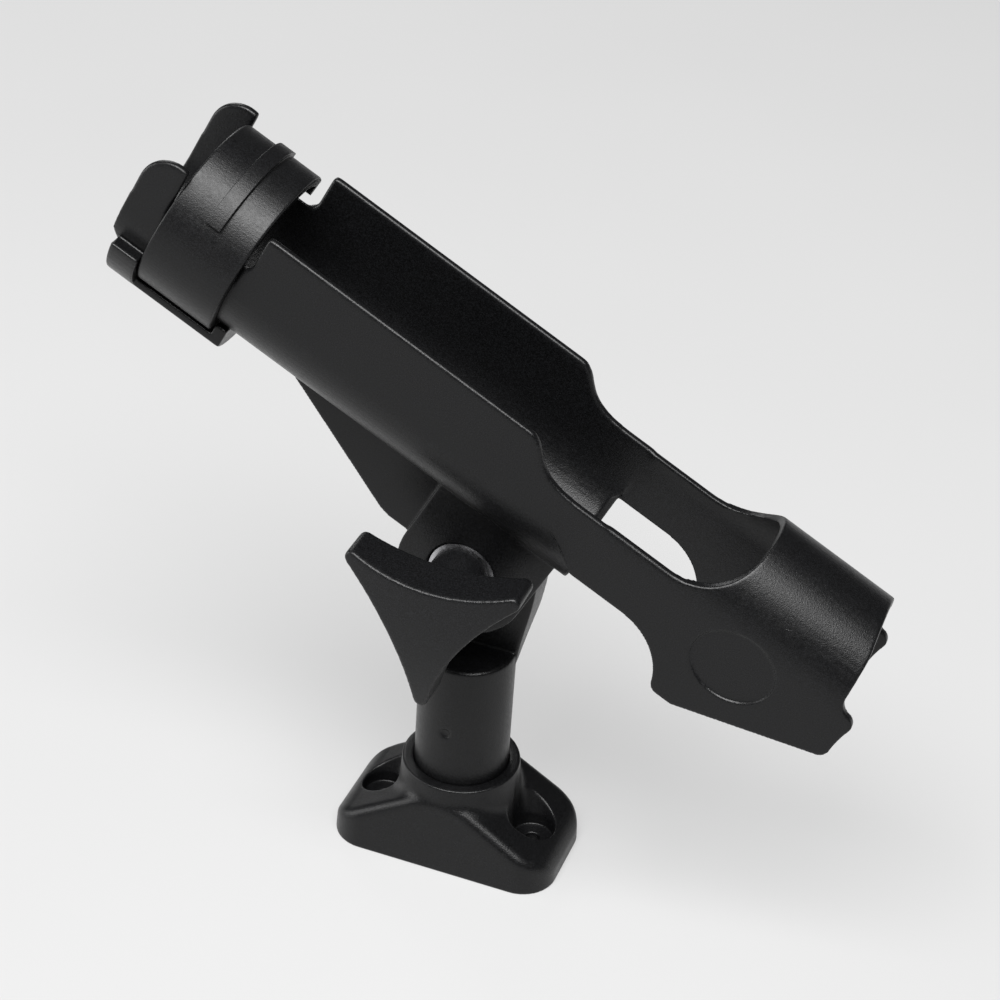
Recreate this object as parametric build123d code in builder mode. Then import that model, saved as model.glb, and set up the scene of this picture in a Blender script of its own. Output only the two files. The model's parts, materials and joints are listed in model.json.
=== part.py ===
"""Adjustable rod holder: open-top cradle with a turning collar, clamped by a wing knob to a swivelling post.

Millimetres. +Z is up and the origin is the centre of the deck base's underside, on the post's
axis. +X points to the cradle's low rear end, and -Y is the knob's side. Inside the cradle, u runs
along the trough's axis from the pivot towards the rear and v is the height above that axis.
"""

from build123d import *
import os
from math import cos, hypot, radians, sin

# Driving dimensions of the cradle
TILT = 27.2
PIVOT_HEIGHT = 120.0
AXIS_RISE = 48.5
HALF_WIDTH = 26.0
WALL = 3.0
WALL_TOP = 24.0
WALL_CORNER = 1.3
NOTCH_CORNER = 3.0
STRIP_TOP = 11.8
STRIP_FRONT = 12.0
STRIP_BOTTOM = -11.2
NECK_TOP = 9.0
FRONT_END = -153.5
EAR_ROUND = 11.0
EAR_REAR = -140.3
EAR_TOP = 25.5
WALL_FRONT = -109.0
WALL_REAR = -8.5
FLOOR_END = 27.0
FLOOR_BEVEL = 2.4
ROOF_CENTRE = 6.3
ROOF_TOP = ROOF_CENTRE + HALF_WIDTH
SKIRT_BOTTOM = -29.3
REAR_END = 125.8
EDGE_ROUND = 0.8

# Keel lip and strap that hold the collar
KEEL_DROP = -4.0
KEEL_RADIUS = 30.0
KEEL_LEDGE = -11.0
STRAP_GAP_RADIUS = 30.7
STRAP_HALF_WIDTH = 18.0
STRAP_REAR = -106.5

# Locking collar
COLLAR_FRONT = -140.0
COLLAR_REAR = -111.3
COLLAR_INNER = 26.6
COLLAR_OUTER = 30.1
COLLAR_END = 49.0
COLLAR_SPAN = 183.0
LIP_INNER = 23.7
LIP_SPAN = 7.0
RIB_OUTER = 31.6
RIB_FRONT = -128.1
RIB_WIDTH = 5.3
RIB_START = 52.0
RIB_SPAN = 98.0

# Pivot lug and its clamp
LUG_RADIUS = 22.8
LUG_NEAR = 13.0
LUG_FAR = -0.2
SEAT_RADIUS = 12.0
SEAT_DEPTH = 2.5
FIN_NEAR = 8.0
FIN_THICKNESS = 4.0
TOOTH_COUNT = 36
TOOTH_INNER = 12.5
TOOTH_OUTER = 20.5
TOOTH_HEIGHT = 0.9
TOOTH_WIDTH = 1.9
LUG_HOLE = 5.3

# Post
POST_RADIUS = 16.65
POST_LEDGE = 83.0
LEDGE_ROUND = 1.2
HEAD_RADIUS = 22.0
HEAD_NEAR = 2.1
HEAD_FAR = 16.5
SHOULDER_HEIGHT = 10.1
SPIGOT_RADIUS = 13.9
SPIGOT_BOTTOM = 5.8
RING_GROOVE_HEIGHT = 20.0

# Retaining washer and screw under the post
WASHER_THICKNESS = 1.6
RETAINER_RADIUS = 4.6
RETAINER_SHANK = 2.35
RETAINER_LENGTH = 19.0
RETAINER_HEIGHT = 2.8
RETAINER_SLOT = 0.9
PILOT_RADIUS = 2.4
PILOT_DEPTH = 27.0
RING_SECTION = 0.81
DIMPLE_RADIUS = 1.7

# Pivot bolt
BOLT_RADIUS = 5.0
BOLT_HEX = 17.0
BOLT_HEAD = 6.4
BOLT_TIP = 38.0
POCKET_DEPTH = 7.0

# Deck base
BASE_LENGTH = 83.0
BASE_WIDTH = 47.0
BASE_CORNER = 13.0
BASE_HEIGHT = 35.0
BASE_DRAFT = 3.0
BASE_ROUND = 4.0
BASE_FOOT_RADIUS = 23.0
SHOULDER_X = 34.0
SHOULDER_Z = 13.2
CROWN_X = 12.0
CROWN_Z = 26.6
BASE_RIM_RADIUS = 20.85
BOSS_BLEND = 6.0
SOCKET_RADIUS = 16.75
SOCKET_FLOOR = 10.0
LOWER_BORE = 14.0
UNDERCUT_RADIUS = 19.0
UNDERCUT_DEPTH = 6.0
SCREW_SPACING = 57.0
SCREW_HOLE = 2.6
SCREW_POCKET = 7.5
POCKET_FLOOR = 7.0

# Wing knob
KNOB_TIP = 34.2
KNOB_WAIST = 13.7
KNOB_ANGLE = 175.2
KNOB_TIP_ROUND = 2.6
KNOB_BACK = 28.2
KNOB_FRONT = 46.0
KNOB_DOME = 140.0
HUB_RADIUS = 10.3
HUB_BACK = 12.15
INSERT_RADIUS = 7.0
INSERT_START = 14.0
INSERT_END = 34.0

# Directions: the trough's axis, and planes across the cradle and along it
AXIS = Vector(cos(radians(TILT)), 0, -sin(radians(TILT)))
SIDE = Plane(origin=(0, 0, PIVOT_HEIGHT), x_dir=AXIS, z_dir=(0, -1, 0))
TROUGH_SIDE = Plane(origin=SIDE.from_local_coords((0, AXIS_RISE, 0)), x_dir=AXIS, z_dir=(0, -1, 0))
FACING = Plane(origin=(0, 0, PIVOT_HEIGHT), x_dir=(1, 0, 0), z_dir=(0, -1, 0))
FAR = 60.0


def section(u):
    """Plane across the trough at u, with x to the far side and y up the section."""
    return Plane(origin=TROUGH_SIDE.from_local_coords((u, 0, 0)), x_dir=(0, 1, 0), z_dir=AXIS)


def channel(radius, top):
    """Section of a round-bottomed channel open at the top."""
    Circle(radius)
    with Locations((0, top / 2)):
        Rectangle(2 * radius, top)


def hood(radius, bottom):
    """Section of a round-topped hood open at the bottom."""
    with Locations((0, ROOF_CENTRE)):
        Circle(radius)
    with Locations((0, (ROOF_CENTRE + bottom) / 2)):
        Rectangle(2 * radius, ROOF_CENTRE - bottom)


def ring_sector(inner, outer, start, span):
    """Sector of a flat ring: angles in degrees from the far side, over the top, to the near side."""
    with BuildSketch() as sector:
        with BuildLine():
            outside = CenterArc((0, 0), outer, start, span)
            inside = CenterArc((0, 0), inner, start, span)
            Line(outside @ 0, inside @ 0)
            Line(outside @ 1, inside @ 1)
        make_face()
    return sector.sketch


def on_boss(edge):
    """Whether an edge lies on the base's boss, clear of the boss's two ends."""
    for place in (0.2, 0.5, 0.8):
        point = edge.position_at(place)
        radius = BASE_FOOT_RADIUS + (BASE_RIM_RADIUS - BASE_FOOT_RADIUS) * point.Z / BASE_HEIGHT
        off_cone = abs(hypot(point.X, point.Y) - radius)
        if off_cone > 0.05 or not 2 < point.Z < BASE_HEIGHT - 2:
            return False
    return True


def write(builder, name):
    builder.part.label = name
    export_step(builder.part, "parts/" + name + ".step")


os.makedirs("parts", exist_ok=True)

# Cradle: trough, neck and ears from one channel, cut to the trough's side outline
with BuildPart() as trough:
    with BuildSketch(section(FRONT_END)):
        channel(HALF_WIDTH, EAR_TOP)
    extrude(amount=FLOOR_END - FRONT_END)
    with BuildSketch(TROUGH_SIDE):
        with BuildLine():
            rear_foot = (FLOOR_END, -HALF_WIDTH - 1)
            strip_start = (20, STRIP_TOP)
            wall_rear = (WALL_REAR, WALL_TOP)
            wall_front = (WALL_FRONT, WALL_TOP)
            Polyline((FRONT_END + 3, -HALF_WIDTH - 1), rear_foot, (FLOOR_END, STRIP_TOP), strip_start)
            Spline(
                strip_start,
                (8.5, 12.5),
                (0.3, 16.2),
                (-4.3, 21.1),
                wall_rear,
                tangents=[(-1, 0), (-1, 0.5)],
            )
            corner_start = (WALL_FRONT + WALL_CORNER, WALL_TOP)
            corner_end = (WALL_FRONT, WALL_TOP - WALL_CORNER)
            notch_start = (WALL_FRONT, NECK_TOP + NOTCH_CORNER)
            notch_end = (WALL_FRONT - NOTCH_CORNER, NECK_TOP)
            ear_rear = (EAR_REAR, EAR_TOP - 0.3)
            ear_top = (FRONT_END + EAR_ROUND, EAR_TOP)
            ear_front = (FRONT_END, EAR_TOP - EAR_ROUND)
            Line(wall_rear, corner_start)
            RadiusArc(corner_start, corner_end, -WALL_CORNER)
            Line(corner_end, notch_start)
            RadiusArc(notch_start, notch_end, NOTCH_CORNER)
            Polyline(notch_end, (EAR_REAR, NECK_TOP), ear_rear, ear_top)
            RadiusArc(ear_top, ear_front, -EAR_ROUND)
            Polyline(ear_front, (FRONT_END, -9), (FRONT_END + 3, -14), (FRONT_END + 3, -HALF_WIDTH - 1))
        make_face()
    extrude(amount=FAR, both=True, mode=Mode.INTERSECT)
    # Round neck that the collar turns on
    with BuildSketch(section(EAR_REAR)):
        Circle(FAR)
        Circle(HALF_WIDTH, mode=Mode.SUBTRACT)
    extrude(amount=WALL_FRONT - 2 - EAR_REAR, mode=Mode.SUBTRACT)

# Rear hood: side strips, skirts and the roofed socket, cut to their own side outline
with BuildPart() as rear_hood:
    with BuildSketch(section(STRIP_FRONT)):
        hood(HALF_WIDTH, SKIRT_BOTTOM - 1)
    extrude(amount=REAR_END - STRIP_FRONT)
    with BuildSketch(TROUGH_SIDE):
        with BuildLine():
            strip_foot = (FLOOR_END, STRIP_BOTTOM)
            skirt_start = (48, STRIP_BOTTOM)
            skirt_toe = (68.8, -27)
            rim_top = (113.4, ROOF_TOP + 1)
            roof_front = (72, ROOF_TOP)
            roof_foot = (51, STRIP_TOP)
            Polyline((STRIP_FRONT, STRIP_TOP), (STRIP_FRONT, 0), strip_foot, skirt_start)
            ThreePointArc(skirt_start, (62.5, -17.2), skirt_toe)
            ThreePointArc(skirt_toe, (70.5, -28.8), (73, SKIRT_BOTTOM))
            Polyline((73, SKIRT_BOTTOM), (77.9, SKIRT_BOTTOM), (123.5, -10.6))
            ThreePointArc((123.5, -10.6), (125, -9), (125.5, -7))
            ThreePointArc((125.5, -7), (125.2, -1), (125.7, 5))
            ThreePointArc((125.7, 5), (124.6, 7.2), (122.3, 8.3))
            ThreePointArc((122.3, 8.3), (119.3, 10), (118, 13))
            Polyline((118, 13), (116.4, 25), rim_top, (72, ROOF_TOP + 1), roof_front)
            ThreePointArc(roof_front, (65.9, 18), roof_foot)
            Line(roof_foot, (STRIP_FRONT, STRIP_TOP))
        make_face()
    extrude(amount=FAR, both=True, mode=Mode.INTERSECT)

with BuildPart() as cradle:
    add(trough.part)
    add(rear_hood.part)
    # Keel lip ahead of the collar
    with BuildSketch(section(FRONT_END + 3)):
        with Locations((0, KEEL_DROP)):
            Circle(KEEL_RADIUS)
        with Locations((0, KEEL_LEDGE + FAR / 2)):
            Rectangle(2 * FAR, FAR, mode=Mode.SUBTRACT)
    extrude(amount=EAR_REAR - FRONT_END - 3)
    # Strap under the collar, and the web that joins it to the trough behind the collar
    with BuildSketch(section(EAR_REAR - 1)):
        with Locations((0, KEEL_DROP)):
            Circle(KEEL_RADIUS)
        Circle(STRAP_GAP_RADIUS, mode=Mode.SUBTRACT)
        with Locations((0, -FAR / 2)):
            Rectangle(2 * STRAP_HALF_WIDTH, FAR, mode=Mode.INTERSECT)
    extrude(amount=STRAP_REAR - EAR_REAR + 1)
    with BuildSketch(section(COLLAR_REAR + 0.5)):
        with Locations((0, KEEL_DROP)):
            Circle(KEEL_RADIUS)
        with Locations((0, -HALF_WIDTH - 5)):
            Rectangle(2 * STRAP_HALF_WIDTH, 20, mode=Mode.INTERSECT)
    extrude(amount=STRAP_REAR - COLLAR_REAR - 0.5)
    # Pivot lug and the fin ahead of it
    with BuildSketch(SIDE.offset(LUG_FAR)):
        Circle(LUG_RADIUS)
        with Locations((0, 14)):
            Rectangle(2 * LUG_RADIUS, 28)
    extrude(amount=LUG_NEAR - LUG_FAR)
    with BuildSketch(TROUGH_SIDE.offset(FIN_NEAR)):
        with BuildLine():
            Polyline((-90, -23), (-34.5, -49.6), (-31, -50.4), (-19, -50.4), (-19, -23), close=True)
        make_face()
    extrude(amount=-FIN_THICKNESS)
    # Hollows
    with BuildSketch(section(FRONT_END - 1)):
        channel(HALF_WIDTH - WALL, 2 * EAR_TOP)
    extrude(amount=FLOOR_END - FRONT_END + 1, mode=Mode.SUBTRACT)
    with BuildSketch(section(FLOOR_END - FLOOR_BEVEL)) as bevel_start:
        Circle(HALF_WIDTH - WALL)
        with Locations((0, STRIP_BOTTOM - FAR / 2)):
            Rectangle(2 * FAR, FAR, mode=Mode.INTERSECT)
    extrude(bevel_start.sketch, amount=FLOOR_BEVEL, taper=-45, mode=Mode.SUBTRACT)
    with BuildSketch(section(FLOOR_END)):
        hood(HALF_WIDTH - WALL, -FAR)
    extrude(amount=REAR_END - FLOOR_END + 1, mode=Mode.SUBTRACT)
    # Oval recess on each skirt
    for side_sign in (1, -1):
        with BuildSketch(TROUGH_SIDE.offset(side_sign * (HALF_WIDTH - 0.8))):
            with Locations((85, -2.6)):
                Ellipse(14.4, 12.7)
        extrude(amount=side_sign * 2, mode=Mode.SUBTRACT)
    # Washer seat and bolt hole in the lug
    with BuildSketch(SIDE.offset(LUG_NEAR)):
        Circle(SEAT_RADIUS)
    extrude(amount=-SEAT_DEPTH, mode=Mode.SUBTRACT)
    with BuildSketch(SIDE):
        Circle(LUG_HOLE)
    extrude(amount=FAR / 2, both=True, mode=Mode.SUBTRACT)

with BuildPart() as lug_teeth:
    for step in range(TOOTH_COUNT):
        angle = 360 / TOOTH_COUNT * step
        radial = SIDE.x_dir.rotate(Axis((0, 0, 0), (0, 1, 0)), angle)
        with BuildSketch(Plane(origin=SIDE.origin + radial * TOOTH_INNER, x_dir=(0, 1, 0), z_dir=radial)):
            with BuildLine():
                Polyline(
                    (-LUG_FAR, -TOOTH_WIDTH / 2),
                    (-LUG_FAR + TOOTH_HEIGHT, 0),
                    (-LUG_FAR, TOOTH_WIDTH / 2),
                    (-LUG_FAR - 0.3, 0),
                    close=True,
                )
            make_face()
        extrude(amount=TOOTH_OUTER - TOOTH_INNER)

with BuildPart() as toothed_cradle:
    add(cradle.part)
    add(lug_teeth.part)
write(toothed_cradle, "cradle")

# Locking collar: a half ring with a stop lip turned in at its far end and a finger rib over its top
with BuildPart() as collar:
    with BuildSketch(section(COLLAR_FRONT)):
        add(ring_sector(COLLAR_INNER, COLLAR_OUTER, COLLAR_END, COLLAR_SPAN))
        add(ring_sector(LIP_INNER, COLLAR_INNER + 1, COLLAR_END, LIP_SPAN))
    extrude(amount=COLLAR_REAR - COLLAR_FRONT)
    fillet(collar.edges().filter_by(GeomType.CIRCLE).sort_by(SortBy.RADIUS)[-2:], EDGE_ROUND)
    with BuildSketch(section(RIB_FRONT)):
        add(ring_sector(COLLAR_OUTER - 0.5, RIB_OUTER, RIB_START, RIB_SPAN))
    extrude(amount=RIB_WIDTH)
write(collar, "locking_collar")

# Post: column, shoulder and spigot, with a half-round head on the far side
with BuildPart() as column:
    with BuildSketch():
        Circle(POST_RADIUS)
    extrude(amount=POST_LEDGE)
    with BuildSketch(Plane.XY):
        Circle(FAR)
        Circle(SPIGOT_RADIUS, mode=Mode.SUBTRACT)
    extrude(amount=SHOULDER_HEIGHT, mode=Mode.SUBTRACT)
    with BuildSketch(Plane.XY):
        Circle(POST_RADIUS)
    extrude(amount=SPIGOT_BOTTOM, mode=Mode.SUBTRACT)
    chamfer(column.faces().sort_by(Axis.Z)[0].outer_wire().edges(), 0.6)
    fillet(column.faces().sort_by(Axis.Z)[-1].edges(), LEDGE_ROUND)

with BuildPart() as head:
    with BuildSketch(FACING.offset(-HEAD_NEAR)):
        with BuildLine():
            flare_low = (POST_RADIUS - 0.2, 74 - PIVOT_HEIGHT)
            flare_top = (HEAD_RADIUS, 0)
            Line((-flare_low[0], flare_low[1]), flare_low)
            Spline(flare_low, (18.9, -27), (21.1, -15), flare_top, tangents=[(0, 1), (0, 1)])
            ThreePointArc(flare_top, (0, HEAD_RADIUS), (-HEAD_RADIUS, 0))
            Spline(
                (-HEAD_RADIUS, 0),
                (-21.1, -15),
                (-18.9, -27),
                (-flare_low[0], flare_low[1]),
                tangents=[(0, -1), (0, -1)],
            )
        make_face()
    extrude(amount=HEAD_NEAR - HEAD_FAR)
    with BuildSketch(Plane.XZ):
        with BuildLine():
            Polyline((0, 70), (POST_RADIUS, 70), (POST_RADIUS, 78), (29, 104), (29, 150), (0, 150))
            Line((0, 150), (0, 70))
        make_face()
    revolve(axis=Axis.Z, mode=Mode.INTERSECT)

with BuildPart() as post:
    add(column.part)
    add(head.part)
    # Bolt hole, hexagonal pocket for the bolt head, groove for the friction ring, pilot hole below
    with BuildSketch(FACING):
        Circle(BOLT_RADIUS + 0.1)
    extrude(amount=FAR, both=True, mode=Mode.SUBTRACT)
    with BuildSketch(FACING.offset(-HEAD_FAR)):
        RegularPolygon(BOLT_HEX / 2 + 0.15, 6, major_radius=False)
    extrude(amount=POCKET_DEPTH, mode=Mode.SUBTRACT)
    with BuildSketch(Plane.XY.offset(RING_GROOVE_HEIGHT - 1.5)):
        Circle(FAR)
        Circle(POST_RADIUS - 1.6, mode=Mode.SUBTRACT)
    extrude(amount=3, mode=Mode.SUBTRACT)
    with BuildSketch(Plane.XY):
        Circle(PILOT_RADIUS)
    extrude(amount=PILOT_DEPTH, mode=Mode.SUBTRACT)
    # Moulding dimple on the near side
    with BuildSketch(Plane(origin=(-0.7, -POST_RADIUS, 56), x_dir=(1, 0, 0), z_dir=(0, -1, 0))):
        Circle(DIMPLE_RADIUS)
    extrude(amount=-0.9, mode=Mode.SUBTRACT)

with BuildPart() as head_teeth:
    for step in range(TOOTH_COUNT):
        angle = 360 / TOOTH_COUNT * (step + 0.5)
        radial = SIDE.x_dir.rotate(Axis((0, 0, 0), (0, 1, 0)), angle)
        with BuildSketch(Plane(origin=SIDE.origin + radial * TOOTH_INNER, x_dir=(0, 1, 0), z_dir=radial)):
            with BuildLine():
                Polyline(
                    (HEAD_NEAR, -TOOTH_WIDTH / 2),
                    (HEAD_NEAR - TOOTH_HEIGHT, 0),
                    (HEAD_NEAR, TOOTH_WIDTH / 2),
                    (HEAD_NEAR + 0.3, 0),
                    close=True,
                )
            make_face()
        extrude(amount=TOOTH_OUTER - TOOTH_INNER)

with BuildPart() as toothed_post:
    add(post.part)
    add(head_teeth.part)
write(toothed_post, "post")

# Rubber friction ring in the post's groove
with BuildPart() as friction_ring:
    with BuildSketch(Plane.XZ):
        with Locations((POST_RADIUS - 0.76, RING_GROOVE_HEIGHT)):
            Circle(RING_SECTION)
    revolve(axis=Axis.Z)
write(friction_ring, "friction_ring")

# Washer and screw that keep the post in the base from below
with BuildPart() as retaining_washer:
    with BuildSketch(Plane.XY.offset(SPIGOT_BOTTOM - WASHER_THICKNESS)):
        Circle(UNDERCUT_RADIUS - 1.2)
        Circle(RETAINER_SHANK + 0.25, mode=Mode.SUBTRACT)
    extrude(amount=WASHER_THICKNESS)
write(retaining_washer, "retaining_washer")

with BuildPart() as retaining_screw:
    head_top = SPIGOT_BOTTOM - WASHER_THICKNESS
    with BuildSketch(Plane.XY.offset(head_top)):
        Circle(RETAINER_RADIUS)
    extrude(amount=-RETAINER_HEIGHT)
    fillet(retaining_screw.faces().sort_by(Axis.Z)[0].edges(), RETAINER_HEIGHT / 2)
    with BuildSketch(Plane.XY.offset(head_top)):
        Circle(RETAINER_SHANK)
    extrude(amount=RETAINER_LENGTH)
    with BuildSketch(Plane.XY.offset(head_top - RETAINER_HEIGHT)):
        Rectangle(RETAINER_RADIUS, RETAINER_SLOT)
        Rectangle(RETAINER_SLOT, RETAINER_RADIUS)
    extrude(amount=RETAINER_HEIGHT / 2, mode=Mode.SUBTRACT)
write(retaining_screw, "retaining_screw")

# Pivot bolt: hexagonal head held in the post, shank through lug and knob
with BuildPart() as pivot_bolt:
    with BuildSketch(FACING.offset(-HEAD_FAR + POCKET_DEPTH - BOLT_HEAD)):
        RegularPolygon(BOLT_HEX / 2, 6, major_radius=False)
    extrude(amount=BOLT_HEAD)
    with BuildSketch(FACING.offset(-HEAD_FAR + POCKET_DEPTH)):
        Circle(BOLT_RADIUS)
    extrude(amount=HEAD_FAR - POCKET_DEPTH + BOLT_TIP)
    chamfer(pivot_bolt.faces().sort_by(Axis.Y)[0].edges(), 0.8)
write(pivot_bolt, "pivot_bolt")

# Thrust washer in the lug's seat
with BuildPart() as thrust_washer:
    with BuildSketch(FACING.offset(LUG_NEAR - SEAT_DEPTH + 0.03)):
        Circle(SEAT_RADIUS - 0.4)
        Circle(BOLT_RADIUS + 0.1, mode=Mode.SUBTRACT)
    extrude(amount=WASHER_THICKNESS)
write(thrust_washer, "thrust_washer")

# Wing knob: three blunt lobes with hollow sides, a domed face and a hub
with BuildPart() as knob:
    with BuildSketch(SIDE.offset(KNOB_BACK)):
        with BuildLine():
            tip_centre = KNOB_TIP - KNOB_TIP_ROUND
            for lobe in range(3):
                angle = KNOB_ANGLE + 120 * lobe
                along = Vector(cos(radians(angle)), sin(radians(angle)))
                across = Vector(-along.Y, along.X)
                waist_angle = radians(angle + 60)
                next_angle = radians(angle + 120)
                next_along = Vector(cos(next_angle), sin(next_angle))
                next_across = Vector(-next_along.Y, next_along.X)
                tip_start = along * tip_centre - across * KNOB_TIP_ROUND
                tip_end = along * tip_centre + across * KNOB_TIP_ROUND
                waist = Vector(cos(waist_angle), sin(waist_angle)) * KNOB_WAIST
                next_start = next_along * tip_centre - next_across * KNOB_TIP_ROUND
                ThreePointArc(tip_start, along * KNOB_TIP, tip_end)
                ThreePointArc(tip_end, waist, next_start)
        make_face()
    extrude(amount=KNOB_FRONT - KNOB_BACK)
    with Locations(Pos(0, KNOB_DOME - KNOB_FRONT, PIVOT_HEIGHT)):
        Sphere(KNOB_DOME, mode=Mode.INTERSECT)
    with BuildSketch(SIDE.offset(HUB_BACK)):
        Circle(HUB_RADIUS)
    extrude(amount=KNOB_BACK - HUB_BACK + 1)
    with BuildSketch(SIDE.offset(HUB_BACK)):
        Circle(BOLT_RADIUS + 0.3)
    extrude(amount=BOLT_TIP + 1 - HUB_BACK, mode=Mode.SUBTRACT)
    with BuildSketch(SIDE.offset(INSERT_START)):
        Circle(INSERT_RADIUS)
    extrude(amount=INSERT_END - INSERT_START, mode=Mode.SUBTRACT)
write(knob, "wing_knob")

# Threaded insert moulded into the knob's hub
with BuildPart() as knob_insert:
    with BuildSketch(SIDE.offset(INSERT_START)):
        Circle(INSERT_RADIUS)
        Circle(BOLT_RADIUS + 0.05, mode=Mode.SUBTRACT)
    extrude(amount=INSERT_END - INSERT_START)
write(knob_insert, "knob_insert")

# Deck base: saddle body with rounded shoulders, a tapered boss and a screw pocket at each end
with BuildPart() as base_body:
    with BuildSketch():
        RectangleRounded(BASE_LENGTH, BASE_WIDTH, BASE_CORNER)
    extrude(amount=BASE_HEIGHT, taper=BASE_DRAFT)
    with BuildSketch(Plane.XZ):
        with BuildLine():
            end_x = BASE_LENGTH / 2
            Line((-end_x, 0), (end_x, 0))
            ThreePointArc((end_x, 0), (end_x - 1.2, 7.5), (SHOULDER_X, SHOULDER_Z))
            Line((SHOULDER_X, SHOULDER_Z), (CROWN_X, CROWN_Z))
            ThreePointArc((CROWN_X, CROWN_Z), (0, 30), (-CROWN_X, CROWN_Z))
            Line((-CROWN_X, CROWN_Z), (-SHOULDER_X, SHOULDER_Z))
            ThreePointArc((-SHOULDER_X, SHOULDER_Z), (1.2 - end_x, 7.5), (-end_x, 0))
        make_face()
    extrude(amount=FAR, both=True, mode=Mode.INTERSECT)
    crown_edges = base_body.edges().filter_by_position(Axis.Z, 5, BASE_HEIGHT)
    fillet(crown_edges.filter_by(lambda edge: abs(edge.center().Y) > 5), BASE_ROUND)
    # Valley round each screw pocket
    for end_sign in (1, -1):
        with Locations(Pos(end_sign * SCREW_SPACING / 2, 0, 22)):
            Cone(6, 20, 28, mode=Mode.SUBTRACT)

with BuildPart() as base:
    add(base_body.part)
    with Locations(Pos(0, 0, BASE_HEIGHT / 2)):
        Cone(BASE_FOOT_RADIUS, BASE_RIM_RADIUS, BASE_HEIGHT)
    fillet(base.edges().filter_by(on_boss), BOSS_BLEND)
    for end_sign in (1, -1):
        with Locations(Pos(end_sign * SCREW_SPACING / 2, 0, POCKET_FLOOR)):
            Cylinder(SCREW_POCKET, FAR, align=(Align.CENTER, Align.CENTER, Align.MIN), mode=Mode.SUBTRACT)
    with BuildSketch():
        with Locations((-SCREW_SPACING / 2, 0), (SCREW_SPACING / 2, 0)):
            Circle(SCREW_HOLE)
    extrude(amount=BASE_HEIGHT, mode=Mode.SUBTRACT)
    with BuildSketch(Plane.XY.offset(SOCKET_FLOOR)):
        Circle(SOCKET_RADIUS)
    extrude(amount=BASE_HEIGHT, mode=Mode.SUBTRACT)
    with BuildSketch():
        Circle(LOWER_BORE)
    extrude(amount=BASE_HEIGHT, mode=Mode.SUBTRACT)
    with BuildSketch():
        Circle(UNDERCUT_RADIUS)
    extrude(amount=UNDERCUT_DEPTH, mode=Mode.SUBTRACT)
write(base, "deck_base")
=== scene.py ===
"""Deck-mounted rod holder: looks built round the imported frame. Metres, in the row frame."""

import json
from math import cos, radians, sin

import bpy
from mathutils import Matrix, Vector


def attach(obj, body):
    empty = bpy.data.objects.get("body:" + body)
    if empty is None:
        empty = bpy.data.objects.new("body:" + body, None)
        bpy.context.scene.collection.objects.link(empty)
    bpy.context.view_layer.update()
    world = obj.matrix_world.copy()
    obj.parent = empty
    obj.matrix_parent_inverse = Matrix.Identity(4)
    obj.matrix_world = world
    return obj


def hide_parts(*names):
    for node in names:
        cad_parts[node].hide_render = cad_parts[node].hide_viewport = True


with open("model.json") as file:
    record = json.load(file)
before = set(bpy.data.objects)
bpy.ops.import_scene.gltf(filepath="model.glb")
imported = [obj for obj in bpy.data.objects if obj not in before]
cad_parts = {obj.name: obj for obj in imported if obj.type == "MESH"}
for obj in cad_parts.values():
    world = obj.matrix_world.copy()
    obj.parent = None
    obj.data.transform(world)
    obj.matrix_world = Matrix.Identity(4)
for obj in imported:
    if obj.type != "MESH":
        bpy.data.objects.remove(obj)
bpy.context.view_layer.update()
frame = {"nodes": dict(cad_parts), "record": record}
nodes = frame["nodes"]
MM = 0.001
scene = bpy.context.scene

# Camera
AZIMUTH = radians(18.48)
ELEVATION = radians(32.88)
ROLL = radians(-4.01)
DISTANCE = 773 * MM
LENS = 85.2
TARGET = Vector((7.66, 0, 144.2)) * MM


# ---------------------------------------------------------------- shader helpers
def new_material(name):
    material = bpy.data.materials.new(name)
    material.use_nodes = True
    tree = material.node_tree
    shader = tree.nodes["Principled BSDF"]
    return material, tree, shader


def add_noise(tree, scale, detail=2.0, roughness=0.5, stretch=(1, 1, 1)):
    """Noise in the object's own metres: a scale of 1000 gives grains about 1 mm across."""
    place = tree.nodes.new("ShaderNodeTexCoord")
    mapping = tree.nodes.new("ShaderNodeMapping")
    mapping.inputs["Scale"].default_value = stretch
    noise = tree.nodes.new("ShaderNodeTexNoise")
    noise.inputs["Scale"].default_value = scale
    noise.inputs["Detail"].default_value = detail
    noise.inputs["Roughness"].default_value = roughness
    tree.links.new(place.outputs["Object"], mapping.inputs["Vector"])
    tree.links.new(mapping.outputs["Vector"], noise.inputs["Vector"])
    return noise.outputs["Fac"]


def add_range(tree, value, low, high, from_low=0.3, from_high=0.7):
    """value spread over low to high."""
    spread = tree.nodes.new("ShaderNodeMapRange")
    spread.inputs["From Min"].default_value = from_low
    spread.inputs["From Max"].default_value = from_high
    spread.inputs["To Min"].default_value = low
    spread.inputs["To Max"].default_value = high
    tree.links.new(value, spread.inputs["Value"])
    return spread.outputs["Result"]


def add_ramp(tree, value, stops):
    """Colour ramp of (position, grey or colour) stops."""
    ramp = tree.nodes.new("ShaderNodeValToRGB")
    elements = ramp.color_ramp.elements
    while len(elements) < len(stops):
        elements.new(0.5)
    for element, (position, colour) in zip(elements, stops):
        element.position = position
        element.color = (*colour, 1)
    tree.links.new(value, ramp.inputs["Fac"])
    return ramp.outputs["Color"]


def add_bump(tree, height, depth, strength=1.0, under=None):
    """Bump of height 0 to 1, depth metres deep, laid over another bump."""
    bump = tree.nodes.new("ShaderNodeBump")
    bump.inputs["Distance"].default_value = depth
    bump.inputs["Strength"].default_value = strength
    tree.links.new(height, bump.inputs["Height"])
    if under is not None:
        tree.links.new(under, bump.inputs["Normal"])
    return bump.outputs["Normal"]


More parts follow.
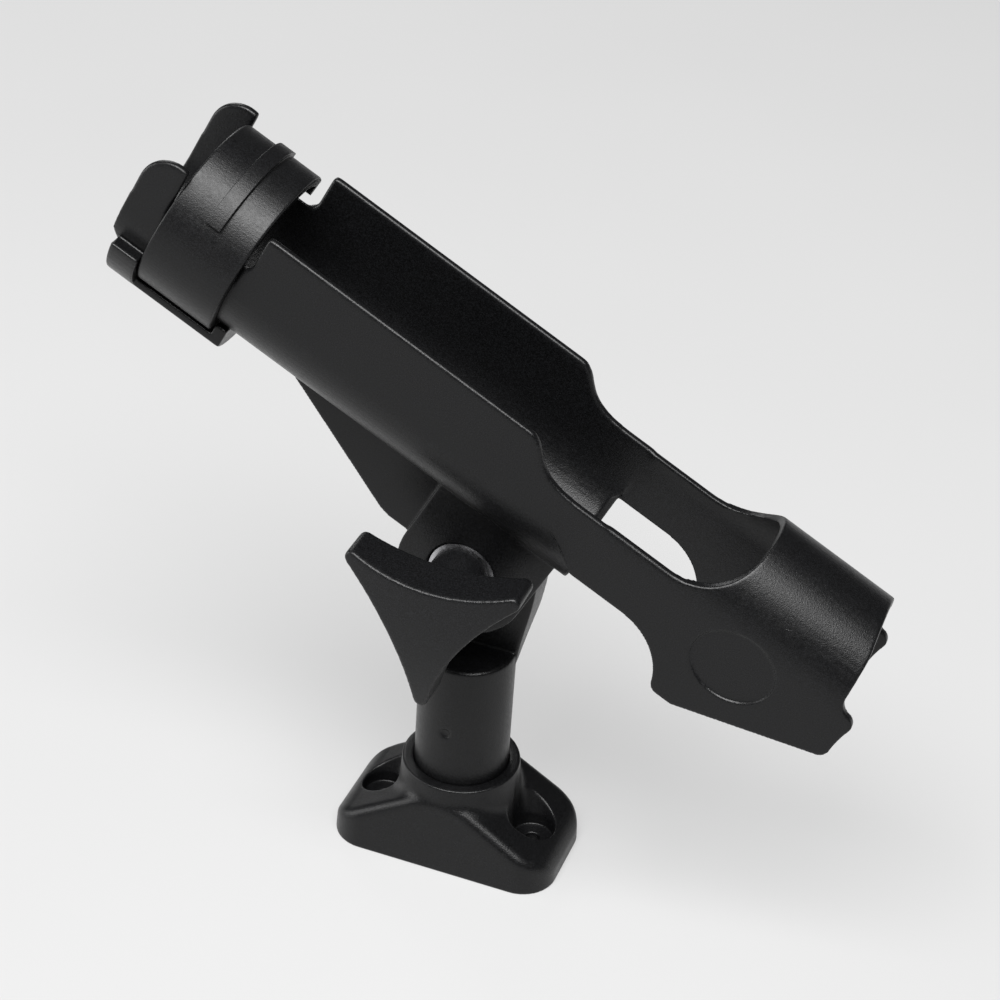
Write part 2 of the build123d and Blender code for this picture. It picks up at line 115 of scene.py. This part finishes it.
# ---------------------------------------------------------------- materials
NYLON_SHEEN = 0.27
GRAIN_SIZE = 0.4 * MM
GRAIN_DEPTH = 0.07 * MM
PIT_SHARE = 0.45  # depth of the coarse pits against the fine grain's
WEAR_SCALE = 30
WEAR_POLISH = 0.04
SCRATCH_SCALE = 700
SCRATCH_STRETCH = (0.04, 1, 1)
SCRATCH_DEPTH = 0.03 * MM
TURNING_SCALE = 900
TURNING_DEPTH = 0.02 * MM
TURNING_STRETCH = (1, 6, 1)
RUBBER_SCALE = 1800
RUBBER_DEPTH = 0.03 * MM


def moulded_nylon(name, shade, rough):
    """Black glass-filled nylon: spark-eroded grain, coarser pits, patchy polish and a few scratches."""
    material, tree, shader = new_material(name)
    grain = add_noise(tree, 1 / GRAIN_SIZE, 2, 0.5)
    flecks = [
        (0.32, (shade * 0.5,) * 3),
        (0.5, (shade, shade, shade * 1.1)),
        (0.68, (shade * 2, shade * 2.1, shade * 2.3)),
    ]
    tree.links.new(add_ramp(tree, grain, flecks), shader.inputs["Base Color"])
    pits = add_noise(tree, 0.3 / GRAIN_SIZE, 3, 0.6)
    wear = add_noise(tree, WEAR_SCALE, 5, 0.7)
    mottle = add_range(tree, pits, rough + 0.06, rough - 0.05)
    polish = add_range(tree, wear, WEAR_POLISH, -WEAR_POLISH)
    total = tree.nodes.new("ShaderNodeMath")
    total.operation = "ADD"
    tree.links.new(mottle, total.inputs[0])
    tree.links.new(polish, total.inputs[1])
    tree.links.new(total.outputs["Value"], shader.inputs["Roughness"])
    scratches = add_noise(tree, SCRATCH_SCALE, 2, 0.5, SCRATCH_STRETCH)
    nicks = add_range(tree, scratches, 0, 1, 0.74, 0.78)
    scored = add_bump(tree, nicks, -SCRATCH_DEPTH)
    coarse = add_bump(tree, pits, GRAIN_DEPTH, PIT_SHARE, scored)
    fine = add_bump(tree, grain, GRAIN_DEPTH, 1.0, coarse)
    tree.links.new(fine, shader.inputs["Normal"])
    shader.inputs["Specular IOR Level"].default_value = NYLON_SHEEN
    return material


def turned_metal(name, colour, rough):
    """Bare metal with fine lathe lines."""
    material, tree, shader = new_material(name)
    lines = add_noise(tree, TURNING_SCALE, 3, 0.6, TURNING_STRETCH)
    dull = [channel * 0.75 for channel in colour]
    tree.links.new(add_ramp(tree, lines, [(0.3, dull), (0.7, colour)]), shader.inputs["Base Color"])
    tree.links.new(add_range(tree, lines, rough - 0.08, rough + 0.1), shader.inputs["Roughness"])
    tree.links.new(add_bump(tree, lines, TURNING_DEPTH, 0.5), shader.inputs["Normal"])
    shader.inputs["Metallic"].default_value = 1.0
    return material


def soft_rubber(name):
    """Matt black rubber."""
    material, tree, shader = new_material(name)
    grain = add_noise(tree, RUBBER_SCALE, 2)
    tree.links.new(add_ramp(tree, grain, [(0.3, (0.012,) * 3), (0.7, (0.022,) * 3)]), shader.inputs["Base Color"])
    tree.links.new(add_range(tree, grain, 0.7, 0.85), shader.inputs["Roughness"])
    tree.links.new(add_bump(tree, grain, RUBBER_DEPTH), shader.inputs["Normal"])
    return material


FINISHES = {
    "black_nylon": moulded_nylon("black_nylon", 0.0032, 0.33),
    "collar_nylon": moulded_nylon("collar_nylon", 0.0034, 0.37),
    "knob_nylon": moulded_nylon("knob_nylon", 0.0042, 0.33),
    "stainless": turned_metal("stainless", (0.62, 0.62, 0.64), 0.32),
    "brass": turned_metal("brass", (0.72, 0.52, 0.25), 0.3),
    "rubber": soft_rubber("rubber"),
}


# ---------------------------------------------------------------- moulded shells
REMESH_SCALE = 0.99
REMESH_THRESHOLD = 0.1
EASE_FACTOR = 0.5
CRADLE_TILT = radians(27.2)
BRIM_HEIGHT = 162 * MM  # both brim limits are in the cradle's own untilted directions
BRIM_REAR = 2 * MM


def moulded_copy(node, depth, rounding, keep, tilt=0.0, brim_rounding=0):
    """The node's shape with the soft edges of a moulding: remeshed evenly, eased, then thinned.

    depth is the remesh octree's, rounding and brim_rounding count smoothing passes, keep is the share of
    faces kept, and tilt lines the piece up with the remesh grid.
    """
    mesh = nodes[node].data.copy()
    mesh.transform(Matrix.Rotation(-tilt, 4, "Y"))
    piece = bpy.data.objects.new(node + "_moulding", mesh)
    scene.collection.objects.link(piece)
    remesh = piece.modifiers.new("even", "REMESH")
    remesh.mode = "SHARP"
    remesh.octree_depth = depth
    remesh.scale = REMESH_SCALE
    remesh.threshold = REMESH_THRESHOLD
    add_easing(piece, rounding)
    if brim_rounding:
        apply_modifiers(piece)
        mark_brim(piece)
        add_easing(piece, brim_rounding).vertex_group = "brim"
    thin = piece.modifiers.new("thin", "DECIMATE")
    thin.ratio = keep
    apply_modifiers(piece)
    piece.data.transform(Matrix.Rotation(tilt, 4, "Y"))
    for polygon in piece.data.polygons:
        polygon.use_smooth = True
    return piece


def add_easing(piece, rounding):
    """A smoothing modifier that runs rounding times."""
    ease = piece.modifiers.new("ease", "SMOOTH")
    ease.factor = EASE_FACTOR
    ease.iterations = rounding
    return ease


def mark_brim(piece):
    """Group the open upper edges of the cradle, which are rounded right over in the mould."""
    brim = piece.vertex_groups.new(name="brim")
    places = [(vertex.index, vertex.co) for vertex in piece.data.vertices]
    high = [index for index, place in places if place.z > BRIM_HEIGHT and place.x < BRIM_REAR]
    brim.add(high, 1.0, "REPLACE")


def apply_modifiers(piece):
    """Bake the piece's modifiers into its mesh."""
    graph = bpy.context.evaluated_depsgraph_get()
    graph.update()
    mesh = bpy.data.meshes.new_from_object(piece.evaluated_get(graph))
    piece.modifiers.clear()
    piece.data = mesh


def finish_piece(piece, material):
    piece.data.materials.clear()
    piece.data.materials.append(material)


slots = {entry["node"]: entry["material_slot"] for entry in frame["record"]["subparts"]}
bodies = frame["record"]["behaviour"]["bodies"]
body_of = {node: body for body, members in bodies.items() for node in members}
MOULDINGS = {
    "cradle": {"depth": 9, "rounding": 8, "keep": 0.34, "tilt": CRADLE_TILT, "brim_rounding": 22},
    "locking_collar": {"depth": 8, "rounding": 5, "keep": 0.5, "tilt": CRADLE_TILT},
    "post": {"depth": 8, "rounding": 12, "keep": 0.5},
    "wing_knob": {"depth": 7, "rounding": 30, "keep": 1.0},
    "deck_base": {"depth": 8, "rounding": 24, "keep": 0.5},
}
for node, recipe in MOULDINGS.items():
    piece = moulded_copy(node, **recipe)
    finish_piece(piece, FINISHES[slots[node]])
    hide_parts(node)
    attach(piece, body_of[node])
for node, slot in slots.items():
    if node not in MOULDINGS:
        finish_piece(nodes[node], FINISHES[slot])


# ---------------------------------------------------------------- studio
SENSOR_WIDTH = 36
CLIP_NEAR, CLIP_FAR = 0.01, 20
FLOOR_SIZE = 12
FLOOR_DARK, FLOOR_LIGHT = 0.17, 0.2
FLOOR_GLOW = 0.45
LIGHT_AIM = (0, 0, 0.15)
ROOM_STRENGTH = 0.06
BACKDROP_STRENGTH = 0.85


def make_camera():
    """The photo's viewing angle, rolled slightly about the line of sight."""
    right = Vector((cos(AZIMUTH), sin(AZIMUTH), 0))
    back = Vector((sin(AZIMUTH) * cos(ELEVATION), -cos(AZIMUTH) * cos(ELEVATION), sin(ELEVATION)))
    up = back.cross(right)
    rolled_right = right * cos(ROLL) - up * sin(ROLL)
    rolled_up = right * sin(ROLL) + up * cos(ROLL)
    data = bpy.data.cameras.new("camera")
    data.lens = LENS
    data.sensor_width = SENSOR_WIDTH
    data.clip_start = CLIP_NEAR
    data.clip_end = CLIP_FAR
    camera = bpy.data.objects.new("camera", data)
    scene.collection.objects.link(camera)
    turn = Matrix((rolled_right, rolled_up, back)).transposed()
    camera.matrix_world = Matrix.Translation(TARGET + back * DISTANCE) @ turn.to_4x4()
    scene.camera = camera


def make_floor():
    """A pale floor that glows a little, so the lamps' edges show less on it."""
    bpy.ops.mesh.primitive_plane_add(size=FLOOR_SIZE, location=(0, 0, 0))
    floor = bpy.context.object
    floor.name = "floor"
    material, tree, shader = new_material("floor")
    tone = add_noise(tree, 3, 2)
    greys = [(0, (FLOOR_DARK,) * 3), (1, (FLOOR_LIGHT,) * 3)]
    tree.links.new(add_ramp(tree, tone, greys), shader.inputs["Base Color"])
    shader.inputs["Roughness"].default_value = 0.9
    shader.inputs["Specular IOR Level"].default_value = 0.1
    shader.inputs["Emission Color"].default_value = (1, 1, 1, 1)
    shader.inputs["Emission Strength"].default_value = FLOOR_GLOW
    floor.data.materials.append(material)


def add_softbox(name, place, width, height, power):
    data = bpy.data.lights.new(name, "AREA")
    data.shape = "RECTANGLE"
    data.size = width
    data.size_y = height
    data.energy = power
    light = bpy.data.objects.new(name, data)
    scene.collection.objects.link(light)
    light.location = place
    light.rotation_euler = (Vector(LIGHT_AIM) - Vector(place)).to_track_quat("-Z", "Y").to_euler()


def make_lights():
    add_softbox("key", (0.2, -0.95, 2.0), width=2.0, height=1.2, power=122)
    add_softbox("fill", (-1.5, -0.5, 0.5), width=0.9, height=0.9, power=12)
    add_softbox("edge", (-0.9, 1.3, 0.9), width=0.6, height=0.6, power=4)


def make_world():
    """A pale backdrop to look at, with a dim studio round the object to light it."""
    world = bpy.data.worlds.new("studio")
    world.use_nodes = True
    tree = world.node_tree
    path = tree.nodes.new("ShaderNodeLightPath")
    strength = add_range(tree, path.outputs["Is Camera Ray"], ROOM_STRENGTH, BACKDROP_STRENGTH, 0, 1)
    tree.links.new(strength, tree.nodes["Background"].inputs["Strength"])
    tree.nodes["Background"].inputs["Color"].default_value = (1, 1, 1, 1)
    scene.world = world


make_camera()
make_floor()
make_lights()
make_world()
scene.view_settings.view_transform = "Standard"
